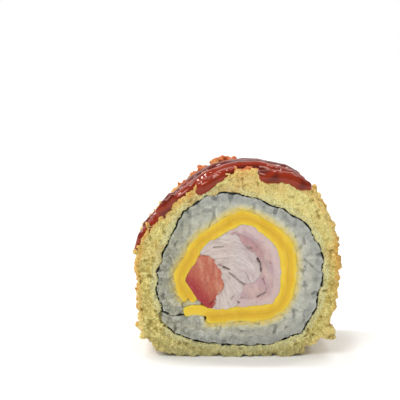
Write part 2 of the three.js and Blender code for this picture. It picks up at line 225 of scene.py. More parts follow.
def evaluated(work):
    """The shape of a work object once its modifiers, fill and bevel are worked out."""
    graph = bpy.context.evaluated_depsgraph_get()
    mesh = bpy.data.meshes.new_from_object(work.evaluated_get(graph))
    bpy.data.objects.remove(work)
    made = bmesh.new()
    made.from_mesh(mesh)
    bpy.data.meshes.remove(mesh)
    return made


def add_modifier(work, kind, **settings):
    with_settings(work.modifiers.new(kind.title(), kind), settings)


def solid_of(node):
    """A CAD node's solid, merged, in section millimetres."""
    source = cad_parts[node]
    made = bmesh.new()
    made.from_mesh(source.data)
    made.transform(source.matrix_world)
    bmesh.ops.scale(made, vec=(1 / MM,) * 3, verts=made.verts)
    bmesh.ops.translate(made, vec=-SHIFT, verts=made.verts)
    bmesh.ops.remove_doubles(made, verts=made.verts, dist=MERGE)
    return made


def surface_of(node):
    """A CAD node's surface, to measure against."""
    return tree_of(solid_of(node))


def remeshed(made, skin, smoothing=0):
    """The same solid, its overlapping parts joined, with an even skin of small faces."""
    work = placed("work", mesh_of(made))
    add_modifier(work, "REMESH", mode="VOXEL", voxel_size=skin)
    if smoothing:
        add_modifier(work, "SMOOTH", factor=0.5, iterations=smoothing)
    return evaluated(work)


def thinned(made, hidden):
    """The same solid with a coarser skin at the places that hidden(place) picks."""
    work = placed("work", mesh_of(made))
    spots = [vert.index for vert in work.data.vertices if hidden(vert.co)]
    work.vertex_groups.new(name="Hidden").add(spots, 1, "REPLACE")
    ratio = 1 - THINNING * len(spots) / len(work.data.vertices)
    add_modifier(work, "DECIMATE", vertex_group="Hidden", ratio=ratio)
    return evaluated(work)


def is_deep(place):
    """Whether a place lies deep between the two cut faces."""
    return abs(place.y) < HALF - DEEP


def kept_inside(made, room):
    """What a solid has inside another one, its room."""
    walls = placed("walls", mesh_of(room))
    work = placed("work", mesh_of(made))
    add_modifier(work, "BOOLEAN", operation="INTERSECT", solver="MANIFOLD", object=walls)
    inside = evaluated(work)
    bpy.data.objects.remove(walls)
    if not inside.verts:
        raise RuntimeError("the rice's grains and its room have nothing in common")
    return inside


def curve_shape(lines, closed, **settings):
    """The shape of a curve with smooth lines through places, each with the half width there."""
    curve = with_settings(bpy.data.curves.new("work", "CURVE"), settings)
    curve.resolution_u = 6
    for line in lines:
        spline = curve.splines.new("BEZIER")
        spline.use_cyclic_u = closed
        spline.bezier_points.add(len(line) - 1)
        for knot, (place, half_width) in zip(spline.bezier_points, line):
            knot.co = place
            knot.radius = half_width
            knot.handle_left_type = "AUTO"
            knot.handle_right_type = "AUTO"
    return evaluated(placed("work", curve))


def drawn_out(outlines, front, back):
    """A solid drawn out along the roll's axis from smooth outlines, the second one a hole."""
    lines = [[((x, z, 0), 1) for x, z in outline] for outline in outlines]
    half = (back - front) / 2
    made = curve_shape(lines, True, dimensions="2D", fill_mode="BOTH", extrude=half)
    turn = Matrix.Rotation(math.pi / 2, 3, "X")
    bmesh.ops.rotate(made, verts=made.verts, cent=(0, 0, 0), matrix=turn)
    bmesh.ops.translate(made, vec=(0, (front + back) / 2, 0), verts=made.verts)
    bmesh.ops.remove_doubles(made, verts=made.verts, dist=MERGE)
    bmesh.ops.recalc_face_normals(made, faces=made.faces)
    return made


def middle_section(node, front, back, growth=0):
    """A slab with the outline that a CAD node has at the middle of the slice, grown all round."""
    made = solid_of(node)
    parts = made.verts[:] + made.edges[:] + made.faces[:]
    bmesh.ops.bisect_plane(
        made, geom=parts, plane_co=(0, 0, 0), plane_no=(0, 1, 0), clear_inner=True, clear_outer=True
    )
    bmesh.ops.triangle_fill(made, edges=made.edges, use_beauty=True, normal=(0, 1, 0))
    bmesh.ops.translate(made, vec=(0, front, 0), verts=made.verts)
    grown = bmesh.ops.extrude_face_region(made, geom=made.faces[:], use_keep_orig=True)
    moved = [part for part in grown["geom"] if isinstance(part, bmesh.types.BMVert)]
    bmesh.ops.translate(made, vec=(0, back - front, 0), verts=moved)
    bmesh.ops.recalc_face_normals(made, faces=made.faces)
    if growth:
        made.normal_update()
        for vert in made.verts:
            walls = [face.normal for face in vert.link_faces if abs(face.normal.y) < 0.5]
            vert.co += sum(walls, Vector()).normalized() * growth
    return made


def ringed(made, cuts):
    """Cuts the walls that run from cut face to cut face into rings."""
    spans = [(edge, abs(edge.verts[0].co.y - edge.verts[1].co.y)) for edge in made.edges]
    along = [edge for edge, span in spans if span > LONG_WALL]
    bmesh.ops.subdivide_edges(made, edges=along, cuts=cuts, use_grid_fill=True)
    bmesh.ops.triangulate(made, faces=[face for face in made.faces if len(face.verts) > 4])
    return made


def swollen(outline, growth):
    """An outline moved outwards from the roll's axis."""
    moved = []
    for x, z in outline:
        away = Vector((x, 0, z)) - AXIS
        away *= 1 + growth / away.length
        moved.append((away.x, away.z + AXIS.z))
    return moved


def outwards(place):
    """The direction from the roll's axis to a place."""
    return Vector((place.x, 0, place.z - AXIS.z)).normalized()


def waves(place, *terms):
    """Noise at a place as a sum of terms, each with its fineness and its height."""
    return sum(noise.noise(place * fineness) * height for fineness, height in terms)


def bulges(place, height):
    """Noise at a place with only its upper half kept."""
    return max(noise.noise(place), 0) * height


def pushed(made, rise):
    """Moves each point along its normal by rise(place, normal)."""
    made.normal_update()
    moves = [(vert, vert.normal * rise(vert.co, vert.normal)) for vert in made.verts]
    for vert, move in moves:
        vert.co += move
    return made


def bearing(turn):
    """The two parts of a direction, given as a turn in degrees from the second one."""
    return math.sin(math.radians(turn)), math.cos(math.radians(turn))


def spot_on(tree, turn, y):
    """Where a line from outside to the roll's axis meets a surface, and the surface's normal."""
    across, up = bearing(turn)
    ray = Vector((across, 0, up))
    start = AXIS + ray * OUTSIDE
    start.y = y
    place, normal = tree.ray_cast(start, -ray)[:2]
    return place, normal


def nearness(made, tree, near, far):
    """For each point, 1 up to a near distance from a surface and 0 from a far one."""
    return [1 - eased(tree.find_nearest(vert.co)[3], near, far) for vert in made.verts]


def relief_of(mesh, rounds, reach):
    """How far each point stands out from its surroundings: 0 in a pit and 1 on a tip."""
    count = len(mesh.vertices)
    points, normals = np.empty((2, count * 3))
    mesh.vertices.foreach_get("co", points)
    mesh.vertices.foreach_get("normal", normals)
    points = points.reshape(-1, 3) / MM
    edges = np.empty(len(mesh.edges) * 2, dtype=np.int64)
    mesh.edges.foreach_get("vertices", edges)
    start, end = edges.reshape(-1, 2).T
    neighbours = np.bincount(start, minlength=count) + np.bincount(end, minlength=count)
    flat = points.copy()
    for _ in range(rounds):
        total = [
            np.bincount(start, along[end], count) + np.bincount(end, along[start], count)
            for along in flat.T
        ]
        flat = 0.3 * flat + 0.7 * np.stack(total, axis=1) / np.maximum(neighbours, 1)[:, None]
    height = np.einsum("ij,ij->i", points - flat, normals.reshape(-1, 3))
    return np.clip(0.5 + height / (2 * reach), 0, 1)


def finished(name, made, finish, nodes, relief=None, layers=None):
    """Puts a piece into the model's frame with its finish, on the root body, in place of its CAD
    nodes.

    The relief is given as the rounds that smooth the surroundings and how far a tip stands out.
    """
    bmesh.ops.translate(made, vec=SHIFT, verts=made.verts)
    bmesh.ops.scale(made, vec=(MM,) * 3, verts=made.verts)
    mesh = mesh_of(made, name)
    mesh.polygons.foreach_set("use_smooth", [True] * len(mesh.polygons))
    mesh.materials.append(finish)
    layers = layers or {}
    if relief:
        layers["relief"] = relief_of(mesh, *relief)
    for layer, values in layers.items():
        mesh.attributes.new(layer, "FLOAT", "POINT").data.foreach_set("value", values)
    piece = placed(name, mesh)
    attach(piece, "root")
    if nodes:
        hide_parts(*nodes)
    print(name, len(mesh.polygons), "faces")


# Finishes


class Wire:
    """A shader value that takes part in Python arithmetic."""

    def __init__(self, finish, socket):
        self.finish = finish
        self.socket = socket

    def math(self, operation, *values):
        return self.finish.node("ShaderNodeMath", dict(enumerate(values)), operation=operation)

    def __add__(self, other):
        return self.math("ADD", self, other)

    def __sub__(self, other):
        return self.math("SUBTRACT", self, other)

    def __rsub__(self, other):
        return self.math("SUBTRACT", other, self)

    def __mul__(self, other):
        return self.math("MULTIPLY", self, other)

    def __pow__(self, other):
        return self.math("POWER", self, other)

    def __abs__(self):
        return self.math("ABSOLUTE", self)

    __radd__ = __add__
    __rmul__ = __mul__

    def eased(self, low, high):
        """0 up to the low value, 1 from the high one, and smooth between."""
        sockets = {"Value": self, "From Min": low, "From Max": high}
        return self.finish.node("ShaderNodeMapRange", sockets, interpolation_type="SMOOTHSTEP")

    def falls(self, low, high):
        """1 up to the low value, 0 from the high one, and smooth between."""
        return 1 - self.eased(low, high)


class Finish:
    """A material in the making, with patterns in section millimetres."""

    def __init__(self, name):
        self.material = bpy.data.materials.new(name)
        self.material.use_nodes = True
        self.tree = self.material.node_tree
        self.tree.nodes.clear()
        where = self.node("ShaderNodeTexCoord", {}, "Object")
        sockets = {"Vector": where, "Location": -SHIFT, "Scale": (1 / MM,) * 3}
        self.place = self.node("ShaderNodeMapping", sockets)
        axes = self.node("ShaderNodeSeparateXYZ", {0: self.place}).socket.node.outputs
        self.x, self.y, self.z = (Wire(self, axis) for axis in axes)

    def node(self, kind, sockets, output=0, **settings):
        """A node with its settings, then the values or links of its sockets."""
        made = with_settings(self.tree.nodes.new(kind), settings)
        for key, value in sockets.items():
            if isinstance(value, Wire):
                self.tree.links.new(value.socket, made.inputs[key])
            elif made.inputs[key].type == "RGBA":
                made.inputs[key].default_value = (*value, 1)
            else:
                made.inputs[key].default_value = value
        return Wire(self, made.outputs[output])

    def noise(self, scale, detail=2, rough=0.5, place=None, warp=0):
        sockets = {
            "Vector": place or self.place, "Scale": scale, "Detail": detail,
            "Roughness": rough, "Distortion": warp,
        }
        return self.node("ShaderNodeTexNoise", sockets)

    def drift(self, scale, detail, width):
        """Noise of the given width about zero."""
        return (self.noise(scale, detail) - 0.5) * width

    def specks(self, scale, low, high, patches):
        """Small round specks, in patches alone."""
        cells = self.node("ShaderNodeTexVoronoi", {"Vector": self.place, "Scale": scale})
        return cells.falls(low, high) * patches

    def stretched(self, scale, turn=(0, 0, 0)):
        """Places stretched and turned, for a pattern that runs one way."""
        sockets = {"Vector": self.place, "Scale": scale, "Rotation": turn}
        return self.node("ShaderNodeMapping", sockets)

    def arcs(self, centre, across, along):
        """Streaks that run in arcs about a centre, as fine as given across and along them."""
        x, z = self.x - centre[0], self.z - centre[1]
        away = (x * x + z * z) ** 0.5 + self.noise(0.22) * 3
        sockets = {0: away * across, 1: z.math("ARCTAN2", z, x) * along, 2: self.y * 0.1}
        return self.noise(1, 3, 0.6, self.node("ShaderNodeCombineXYZ", sockets))

    def attribute(self, name):
        return self.node("ShaderNodeAttribute", {}, "Fac", attribute_name=name)

    def coats(self, colour, *coats):
        """A colour under coats, each with its share, its colour and how it blends, if not plainly.

        A share is 0 where the coat doesn't show and 1 where nothing shows through it.
        """
        for share, coat, *how in coats:
            sockets = {0: share, 6: colour, 7: coat}
            blend = how[0] if how else "MIX"
            colour = self.node("ShaderNodeMix", sockets, 2, data_type="RGBA", blend_type=blend)
        return colour

    def with_slit_shade(self, colour):
        """A filling's colour with painted shade in its slits: dark, and black in the deep ones."""
        depth = self.attribute("slit")
        return self.coats(
            colour,
            (depth.eased(0.15, 0.9) * 0.6, srgb(136, 94, 88)),
            (depth.eased(0.9, 1.4), srgb(20, 9, 8)),
        )

    def surface(self, colour, roughness, bump=None, glow=None, more=None):
        """The material. A bump is its height and strength, a glow its share, spread and depth."""
        sockets = {"Base Color": colour, "Roughness": roughness, **(more or {})}
        if bump:
            relief = {"Height": bump[0], "Strength": bump[1], "Distance": MM}
            sockets["Normal"] = self.node("ShaderNodeBump", relief)
        if glow:
            share, spread, depth = glow
            sockets["Subsurface Weight"] = share
            sockets["Subsurface Radius"] = spread
            sockets["Subsurface Scale"] = depth * MM
        shader = self.node("ShaderNodeBsdfPrincipled", sockets, subsurface_method="RANDOM_WALK")
        output = self.tree.nodes.new("ShaderNodeOutputMaterial")
        self.tree.links.new(shader.socket, output.inputs["Surface"])
        return self.material


def crust_finish(settings):
    """Pale crumb at the cuts, fried golden outside, orange on the tips and stained by the sauce."""
    finish = Finish("fried crumb")
    relief = finish.attribute("relief")
    patches = finish.noise(0.16, 3).eased(0.38, 0.66)
    tips = relief.eased(0.6, 0.9) * finish.noise(0.35, 2).eased(0.36, 0.6)
    outside = finish.coats(settings.fried, (patches, settings.golden), (tips, settings.toasted))

    shade = finish.noise(1.3, 4, 0.65).eased(0.34, 0.7) * 0.7
    shade += finish.noise(0.3, 2).eased(0.4, 0.64) * 0.5
    ragged = finish.drift(0.6, 3, 0.7)
    steamed = (finish.attribute("steamed") + ragged).eased(0.25, 0.8)
    browned = (finish.attribute("browned") + ragged).eased(0.3, 0.95)
    browned *= 0.3 + finish.z.eased(6, 24) * 0.6
    browned *= 0.55 + relief.eased(0.45, 0.8) * 0.45
    golden_patches = finish.noise(0.13, 2).eased(0.48, 0.66) * finish.z.eased(8, 40) * 0.45
    # Painted light: the upper left shoulder is made lighter.
    lit_shoulder = (finish.z + finish.x * 0.5).eased(44, 54)
    inside = finish.coats(
        settings.crumb,
        (shade, settings.crumb_deep),
        # Painted shade: the crumb is darkened towards the underside.
        (finish.z.falls(1, 14) * 0.45, settings.olive_and_foot_shade),
        # Painted highlight: the raised crumbs are made lighter.
        (relief.eased(0.46, 0.8) * 0.8, settings.crumb_grain_and_highlight),
        # Painted light: the crumb is made lighter towards the top.
        (finish.z.eased(20, 46) * 0.4, settings.crumb_grain_and_highlight),
        (steamed * 0.8, settings.pale),
        (browned + golden_patches, settings.golden),
        # Painted light on the upper left shoulder.
        (lit_shoulder * 0.35, settings.crumb_grain_and_highlight),
    )

    cut = abs(finish.y).eased(12.2, 13.6)
    grit = finish.noise(2.6, 3, 0.7)
    specks = finish.specks(0.36, 0.08, 0.2, finish.noise(0.3, 1).eased(0.5, 0.62))
    top = (finish.z - finish.x * 0.22).eased(42, 50)
    stain = top * finish.noise(0.2, 3).eased(0.28, 0.52) * (1 - cut * 0.9)
    colour = finish.coats(
        outside,
        (cut, inside),
        (grit.eased(0.52, 0.64) * 0.65, settings.crumb_grain_and_highlight),
        (grit.falls(0.36, 0.48) * 0.7, settings.pit, "MULTIPLY"),
        # Painted shade: the pits are darkened.
        (relief.falls(0.08, 0.42) * (0.7 - cut * 0.42), settings.pit, "MULTIPLY"),
        # Real olive specks, and painted shade along the foot.
        (specks * 0.5 + finish.z.falls(0.4, 4.5) * 0.5, settings.olive_and_foot_shade),
        (stain * 0.9, settings.stain),
    )
    creases = abs(finish.noise(1.3, 4, 0.6) - 0.5)
    height = finish.noise(2.4, 4, 0.65) * 0.9 - creases * 1.4
    roughness = 0.64 + finish.noise(1.2, 3) * 0.2 - stain * 0.45
    glow = (0.25, (1.0, 0.7, 0.3), 0.8)
    return finish.surface(colour, roughness, (height, 0.7), glow, {"Specular IOR Level": 0.35})


def sauce_finish(settings):
    """Thick glossy sauce: orange-red where it is thin over the crumb, dark where it is deep."""
    finish = Finish("glossy sauce")
    cloudy = finish.noise(0.3, 2).eased(0.45, 0.75) * 0.25
    thin = finish.attribute("thin")
    colour = finish.coats(settings.deep, (thin, settings.thin), (cloudy, settings.thin))
    roughness = 0.04 + finish.noise(0.5, 2) * 0.06
    bump = (finish.noise(0.4, 1) * 0.4, 0.4)
    glow = (0.1, (1.0, 0.3, 0.1), 0.8)
    gloss = {"Specular IOR Level": 0.5, "Specular Tint": srgb(255, 226, 214)}
    return finish.surface(colour, roughness, bump, glow, gloss)


def nori_finish():
    """Damp seaweed: near black with a green cast and a fibrous grain."""
    finish = Finish("damp nori")
    fibres = finish.noise(1.4, 4, 0.6, finish.stretched((1, 0.25, 1)))
    colour = finish.coats(srgb(10, 12, 11), (fibres.eased(0.35, 0.7), srgb(26, 32, 28)))
    bump = (fibres * 0.4, 0.6)
    return finish.surface(colour, 0.45 + fibres * 0.3, bump, more={"Specular IOR Level": 0.25})


def rice_finish(settings):
    """Cooked rice: bluish by the nori, yellow by the cheese, warmer at its left and its foot."""
    finish = Finish("cooked rice")
    relief = finish.attribute("relief")
    mottle = finish.noise(0.35, 3)
    # Random mottle, and a painted highlight that whitens the raised grains.
    tone = mottle.eased(0.36, 0.66) * 0.35 + relief.eased(0.38, 0.72) * 0.65
    edge = finish.attribute("edge") + finish.drift(0.4, 2, 0.6)
    smear = finish.attribute("smear") - finish.drift(0.5, 3, 0.5)
    lively = (10 - finish.x - finish.z * 0.4).eased(0, 30)
    # Painted highlight: wet blue-white glints, most at the lower left.
    painted_glints = finish.noise(0.8, 3, 0.6).eased(0.48, 0.64) * (0.15 + lively * 0.5)
    # Crease lines between the grains: darkened below as painted shade, and sunk a little in the
    # bump.
    creases = abs(finish.noise(0.5, 2) - 0.5).falls(0.004, 0.05)
    shaded = (-8 - finish.x).eased(0, 12) + finish.z.falls(5, 13) * 0.2
    specks = finish.specks(0.34, 0.05, 0.13, finish.noise(0.21, 1).eased(0.54, 0.6))
    colour = finish.coats(
        settings.grey,
        (tone, settings.white),
        (edge.eased(0.15, 0.9) * 0.75, settings.cool, "MULTIPLY"),
        (smear.eased(0.1, 0.7) * 0.7, settings.warm),
        (smear.eased(0.62, 1.0) * 0.8, settings.yellow),
        # Painted shade between the grains.
        (relief.falls(0.15, 0.5) * 0.5, settings.crevice, "MULTIPLY"),
        # Painted highlight in pearl.
        (painted_glints, settings.pearl),
        # Painted shade along the crease lines.
        (creases * (0.08 + lively * 0.4), settings.crevice, "MULTIPLY"),
        (shaded * 0.45, settings.warm, "MULTIPLY"),
        (specks * 0.7, srgb(40, 45, 40)),
    )
    height = finish.noise(1.3, 4, 0.55) * 0.4 - creases * 0.12
    glow = (0.5, (1.0, 0.95, 0.8), 1.4)
    wet = {"Coat Weight": 0.15, "Coat Roughness": 0.2}
    return finish.surface(colour, 0.3 + mottle * 0.25, (height, 0.5), glow, wet)


def cheese_finish(settings):
    """Processed cheese: smooth deep yellow, paler on its raised bits and edges as a painted
    highlight, with faint knife marks.
    """
    finish = Finish("sliced cheese")
    drag = finish.noise(0.5, 4, 0.55, finish.stretched((1, 1, 0.35)))
    seam = finish.attribute("seam") + finish.drift(0.4, 2, 0.6)
    rim = finish.attribute("rim") + finish.drift(0.45, 3, 0.9)
    colour = finish.coats(
        settings.yellow,
        (drag.eased(0.4, 0.7) * 0.5, settings.pale),
        # Painted highlight: raised bits and edges are made paler.
        (finish.attribute("relief").eased(0.6, 0.95) * 0.5, settings.pale),
        (seam.eased(0.3, 1) * 0.5, settings.deep),
        (seam.falls(0, 0.3) * 0.5, settings.pale),
        (rim.eased(0.3, 0.95) * 0.8, settings.milky),
    )
    glow = (0.6, (1.0, 0.6, 0.12), 2.0)
    return finish.surface(colour, 0.38 + drag * 0.16, (drag * 0.35, 0.4), glow)


def ham_finish(settings, folded):
    """Cooked ham: mauve pink, pale by the cheese and deeper in the fold on the chicken."""
    finish = Finish("cooked ham")
    grain = finish.noise(0.6, 4, 0.6, finish.stretched((1, 1, 0.5)))
    patches = finish.noise(0.18, 2, warp=0.4)
    rim = finish.attribute("rim") + finish.drift(0.3, 3, 0.6)
    coats = [
        (grain.eased(0.38, 0.66), settings.pale),
        (patches.eased(0.46, 0.62) * 0.6, settings.lilac),
        (rim.eased(0.3, 0.8) * 0.6, settings.rim),
    ]
    if folded:
        upper = finish.z + finish.drift(0.3, 3, 6)
        coats.append((upper.eased(24, 32) * 0.6, settings.deep))
    # Painted shade in the folds and hollows.
    folds = finish.attribute("relief").falls(0.15, 0.48) * 0.5
    coats.append((folds, settings.fold, "MULTIPLY"))
    colour = finish.with_slit_shade(finish.coats(settings.pink, *coats))
    bump = (finish.noise(1.8, 4, 0.6) * 0.45, 0.6)
    return finish.surface(colour, 0.36 + grain * 0.2, bump, (0.5, (1.0, 0.5, 0.4), 1.6))


def chicken_finish(settings, centre):
    """Cooked chicken breast: white with a pink tinge and fibres that run in arcs about a centre."""
    finish = Finish("cooked chicken")
    mottle = finish.noise(0.4, 4, 0.55)
    streaks = finish.arcs(centre, 2.2, 2.4)
    # Painted shade in low spots, and darker gaps between the fibres.
    fibre_gaps_and_shade = finish.attribute("relief").falls(0.12, 0.46) * 0.4 + streaks.falls(0.32, 0.44) * 0.35
    colour = finish.coats(
        settings.white,
        (mottle.eased(0.38, 0.66), settings.pink),
        (finish.x.falls(-4, 1) * 0.35, settings.cream),
        (streaks.eased(0.5, 0.62) * 0.55, settings.bright),
        (fibre_gaps_and_shade, settings.fibre, "MULTIPLY"),
    )
    colour = finish.with_slit_shade(colour)
    bump = (finish.noise(1.6, 4, 0.6) * 0.3 + streaks * 0.5, 0.5)
    return finish.surface(colour, 0.42 + mottle * 0.2, bump, (0.5, (1.0, 0.75, 0.65), 1.2))


def tomato_finish(settings):
    """Tomato: wet orange-red flesh with pale veins and a crimson skin on its lower left."""
    finish = Finish("tomato")
    x, z = TOMATO_SKIN
    depth = (finish.x - x) * math.cos(TOMATO_TURN) + (finish.z - z) * math.sin(TOMATO_TURN)
    veins = finish.noise(0.45, 3, 0.55, finish.stretched((1.6, 0.3, 0.6), (0, 0.7, 0)))
    colour = finish.coats(
        settings.flesh,
        (veins.eased(0.45, 0.66), settings.vein),
        # Painted shade: low spots are made redder and darker.
        (finish.attribute("relief").falls(0.25, 0.6) * 0.3, settings.red),
        (depth.falls(1.4, 5.0) * 0.85, settings.red),
        (depth.falls(0.5, 2.2), settings.skin),
    )
    bump = (finish.noise(1.1, 4, 0.6) * 0.9, 0.6)
    roughness = 0.2 + finish.noise(0.8, 3) * 0.25
    return finish.surface(colour, roughness, bump, (0.45, (1.0, 0.3, 0.2), 1.6))


def floor_finish(settings):
    """A plain pale floor, very slightly uneven in tone."""
    finish = Finish("pale floor")
    dim = tuple(0.97 * part for part in settings.floor)
    colour = finish.coats(settings.floor, (finish.noise(0.02, 2), dim))
    return finish.surface(colour, 0.7, more={"Specular IOR Level": 0.2})


# Pieces


def crumb_rise(place, normal):
    """How far the crumb stands out or falls back at a place."""
    cut = eased(abs(normal.y), 0.55, 0.9) * eased(abs(place.y), 12.5, 13.6)
    wall = eased(-outwards(place).dot(normal), 0.3, 0.7) * (1 - cut)
    broad = noise.noise(place * 0.33)
    ridges = 0.42 - noise.turbulence(place * 0.75, 3, True)
    lumps = 0.5 - noise.voronoi(place * 0.75)[0][0]
    grit = 0.4 - noise.voronoi(place * 1.5)[0][0]
    shreds = noise.noise(place * 1.2 + Vector((7, 3, 1))) * 0.32
    fine = noise.noise(place * 2.4) * 0.16
    crevice = max(noise.noise(place * 0.7 + Vector((11, 5, 9))) - 0.34, 0) * 2.4
    outer = broad * 0.65 + ridges * 0.7 + lumps * 0.6 + shreds + fine
    face = broad * 0.7 + ridges * 0.4 + lumps * 0.28 + grit * 0.24 + shreds * 0.8 + fine - crevice
    return (outer + (face - outer) * cut) * (1 - wall)


def drawn_to_nori(made, reach, beyond=0):
    """Draws a wall up to the nori, and in places over the edge of the sheet at the cut faces.

    Where the loop of nori is open, the wall is drawn up to the rice instead, from further away.
    """
    nori, rice = surface_of("nori"), surface_of("rice")
    made.normal_update()
    for vert in made.verts:
        place, normal = nori.find_nearest(vert.co, reach)[:2]
        cover = 0.02
        if place:
            spill = bulges(place * 0.55 + normal * 3, 0.65) + bulges(place * 1.6 + normal * 5, 0.4)
            cover += spill * eased(abs(place.y), 12.6, 13.8)
        elif beyond:
            place, normal = rice.find_nearest(vert.co, beyond)[:2]
        if place and abs(normal.y) < 0.5 and normal.dot(vert.normal) < -0.3:
            vert.co = Vector((place.x, vert.co.y, place.z)) - normal * cover
    return made


def waved(made):
    """Bends what lies along the sheet of nori in and out, as the sheet bends."""
    nori = surface_of("nori")
    for vert in made.verts:
        place, _, _, away = nori.find_nearest(vert.co, 3)
        if place:
            wave = waves(Vector((place.x, place.y * 0.2, place.z)), (0.3, 0.75), (0.9, 0.3))
            vert.co += outwards(place) * wave * (1 - eased(away, 0.8, 3))
    return made


def sauce_runs(tree):
    """The centre lines of the stripes of sauce, laid on a surface, with half widths."""
    runs = []
    for stripe in SAUCE_STRIPES:
        run = []
        for turn, y, half_width in stripe:
            place, _ = spot_on(tree, turn, y)
            depth = half_width * SAUCE_FLATNESS - SAUCE_RISE
            run.append((place - outwards(place) * depth, half_width))
        runs.append(run)
    return runs


def nearest_on(run, place):
    """The place on a run's centre line nearest to a given one, and the half width there."""
    best = None
    for (start, first), (end, last) in zip(run, run[1:]):
        share = min(max(intersect_point_line(place, start, end)[1], 0), 1)
        spot = start.lerp(end, share)
        if best is None or (spot - place).length < (best[0] - place).length:
            best = (spot, first + (last - first) * share)
    return best


def is_covered(place, runs):
    """Whether a place lies under the sauce."""
    found = [nearest_on(run, place) for run in runs]
    return any((spot - place).length < half_width for spot, half_width in found)


def crust_base():
    """The crust without its crumbs: it swells behind the front rim and falls to the back one."""
    hole = swollen(WRAP_OUTLINE, NORI_ROOM)
    made = drawn_out([CRUST_OUTLINE, hole], -HALF + 0.1, HALF - 0.1)
    for vert in ringed(made, cuts=13).verts:
        if math.hypot(vert.co.x, vert.co.z - AXIS.z) > CRUST_INSIDE:
            rise = CROWN_RISE * eased(vert.co.y, -HALF, -9.5)
            fall = CROWN_FALL * eased(vert.co.y, -3, HALF)
            vert.co.z += (rise - fall) * eased(vert.co.z, 34, 50)
    return made


def add_lump(made, place, radius, chance):
    """One jagged lump of crumb."""
    size = Vector([radius * chance.uniform(0.6, 1.3) for _ in range(3)])
    turn = Euler([chance.uniform(0, math.tau) for _ in range(3)]).to_matrix()
    matrix = Matrix.LocRotScale(place, turn, size)
    corners = bmesh.ops.create_icosphere(made, subdivisions=1, radius=1, matrix=matrix)["verts"]
    for corner in corners:
        corner.co += (corner.co - place) * chance.uniform(-0.35, 0.3)


def add_crumbs(made, tree, runs, settings):
    """Crumbs all over the crust, soaked ones between the stripes of sauce, and the flakes."""
    chance = random.Random(7)
    for _ in range(settings.crumbs):
        place, normal = spot_on(tree, chance.uniform(-180, 180), chance.uniform(-HALF, HALF))
        if place is None or place.z < 1 or is_covered(place, runs):
            continue
        radius = settings.crumb_size / MM * chance.uniform(0.45, 1.0)
        add_lump(made, place - normal * radius * chance.uniform(-0.1, 0.5), radius, chance)
    for _ in range(settings.soaked):
        place, normal = spot_on(tree, chance.uniform(*SOAKED_TURNS), chance.uniform(*SOAKED_LENGTH))
        if is_covered(place, runs):
            continue
        swell = eased(place.x, -18, -9)
        place += normal * (0.3 + swell * 0.6)
        add_lump(made, place, chance.uniform(0.6, 1.1 + swell * 0.4), chance)
    for place, radius in FLAKES:
        for _ in range(LUMPS_PER_FLAKE):
            spread = Vector([chance.uniform(-0.5, 0.5) * radius for _ in range(3)])
            add_lump(made, Vector(place) + spread, radius * chance.uniform(0.5, 0.85), chance)


def crust_solid(settings):
    """The crumbed crust, fitted to the nori and stood on its uneven underside."""
    made = crust_base()
    tree = BVHTree.FromBMesh(made)
    runs = sauce_runs(tree)
    add_crumbs(made, tree, runs, settings)

    def rise(place, normal):
        height = crumb_rise(place, normal)
        if height > 0.2 and place.z > 30 and abs(place.y) < 13 and is_covered(place, runs):
            return 0.2
        return height

    inner = tree_of(drawn_out([swollen(WRAP_OUTLINE, NORI_ROOM)], -HALF * 2, HALF * 2))
    made = remeshed(made, CRUST_SKIN)
    made = thinned(made, lambda place: is_deep(place) and inner.find_nearest(place)[3] < 0.3)
    waved(drawn_to_nori(pushed(made, rise), 1.0, 1.9))
    for vert in made.verts:
        hollow = bulges(Vector((vert.co.x * 0.45, vert.co.y * 0.45, 3)), 2.4)
        hollow += bulges(Vector((vert.co.x * 1.3, vert.co.y * 1.3, 8)), 0.7)
        vert.co.z = max(vert.co.z, FOOT_GAP + min(hollow, DEEPEST_HOLLOW))
    return made


def build_crust(settings):
    made = crust_solid(settings)
    wall = tree_of(drawn_out([CRUST_OUTLINE], -HALF * 4, HALF * 4))
    browned = []
    for vert in made.verts:
        spot = Vector((vert.co.x, 0, vert.co.z))
        place, normal, _, _ = wall.find_nearest(spot)
        browned.append(eased(normal.dot(spot - place), -2.2, 0))
    steamed = nearness(made, surface_of("nori"), 0.6, 2.6)
    layers = {"steamed": steamed, "browned": browned}
    finished("crust", made, crust_finish(settings), ["crust"], (14, 0.42), layers)


def add_stroke(made, run, flatness):
    """A round-ended stroke of sauce along a run, its upper half flattened."""
    stroke = curve_shape(
        [run], False, dimensions="3D", bevel_depth=1, bevel_resolution=3, use_fill_caps=True
    )
    for place, half_width in (run[0], run[-1]):
        matrix = Matrix.Translation(place)
        bmesh.ops.create_icosphere(stroke, subdivisions=3, radius=half_width, matrix=matrix)
    for vert in stroke.verts:
        spot, _ = nearest_on(run, vert.co)
        up = outwards(spot)
        vert.co -= up * max(up.dot(vert.co - spot), 0) * (1 - flatness)
    mesh = mesh_of(stroke)
    made.from_mesh(mesh)
    bpy.data.meshes.remove(mesh)


def build_sauce(settings):
    made = bmesh.new()
    for run in sauce_runs(tree_of(crust_base())):
        wide = [(place, half_width * settings.width) for place, half_width in run]
        add_stroke(made, wide, SAUCE_FLATNESS)
    for drip in SAUCE_DRIPS:
        add_stroke(made, [(Vector(place), half_width) for *place, half_width in drip], 1)
    bmesh.ops.remove_doubles(made, verts=made.verts, dist=1e-4)
    made = remeshed(made, SAUCE_SKIN, 14)
    pushed(made, lambda place, normal: waves(place, (0.22, 0.5), (0.6, 0.08)) + 0.1)
    layers = {"thin": nearness(made, surface_of("crust"), 0, 1.1)}
    finished("sauce", made, sauce_finish(settings), [], layers=layers)


